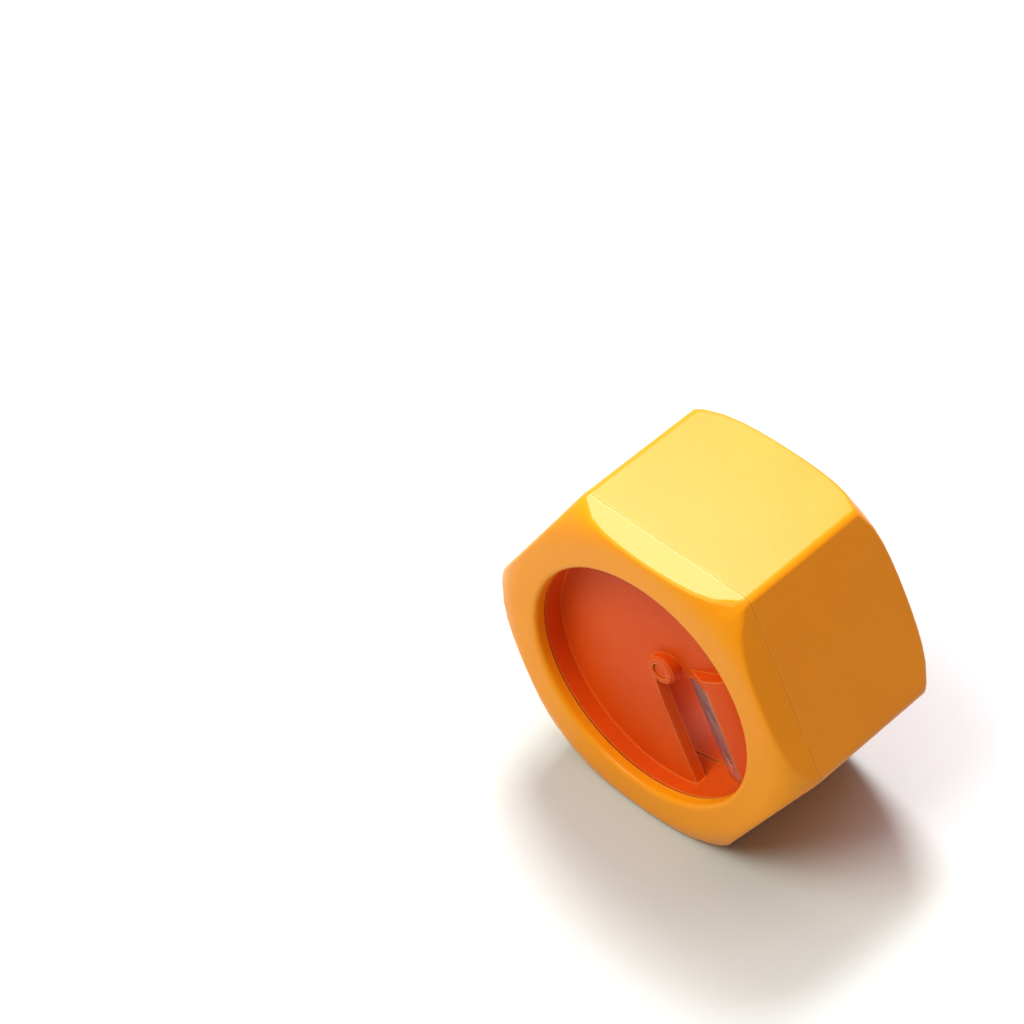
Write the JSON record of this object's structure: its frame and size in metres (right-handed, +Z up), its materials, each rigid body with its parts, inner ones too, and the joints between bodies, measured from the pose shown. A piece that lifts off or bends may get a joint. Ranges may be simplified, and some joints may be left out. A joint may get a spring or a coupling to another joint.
{
  "type": "spiral vegetable slicer",
  "caption": "Hand-held spiral slicer shaped like a hexagonal nut, with a helical cutting floor and a steel blade in its round bore.",
  "frame": {"origin": "centre of the bounding box's bottom, on the lower flat that the slicer lies on", "axes": "+Y along the bore, from the face that the slices leave by to the face that the vegetable goes into; +Z up; +X across the corners"},
  "size_m": [0.0744, 0.0388, 0.065],
  "materials": {
    "orange_plastic": "satin, finely textured",
    "insert_plastic": "satin",
    "blade_steel": "fine ground",
    "screw_steel": "bright"
  },
  "bodies": {
    "root": {"body_shell": "orange_plastic", "front_cap": "orange_plastic", "guide_sleeve": "insert_plastic", "cutter_plate": "insert_plastic", "blade": "blade_steel", "blade_screw_inner": "screw_steel", "blade_screw_outer": "screw_steel", "centre_pin": "insert_plastic"}
  },
  "joints": []
}
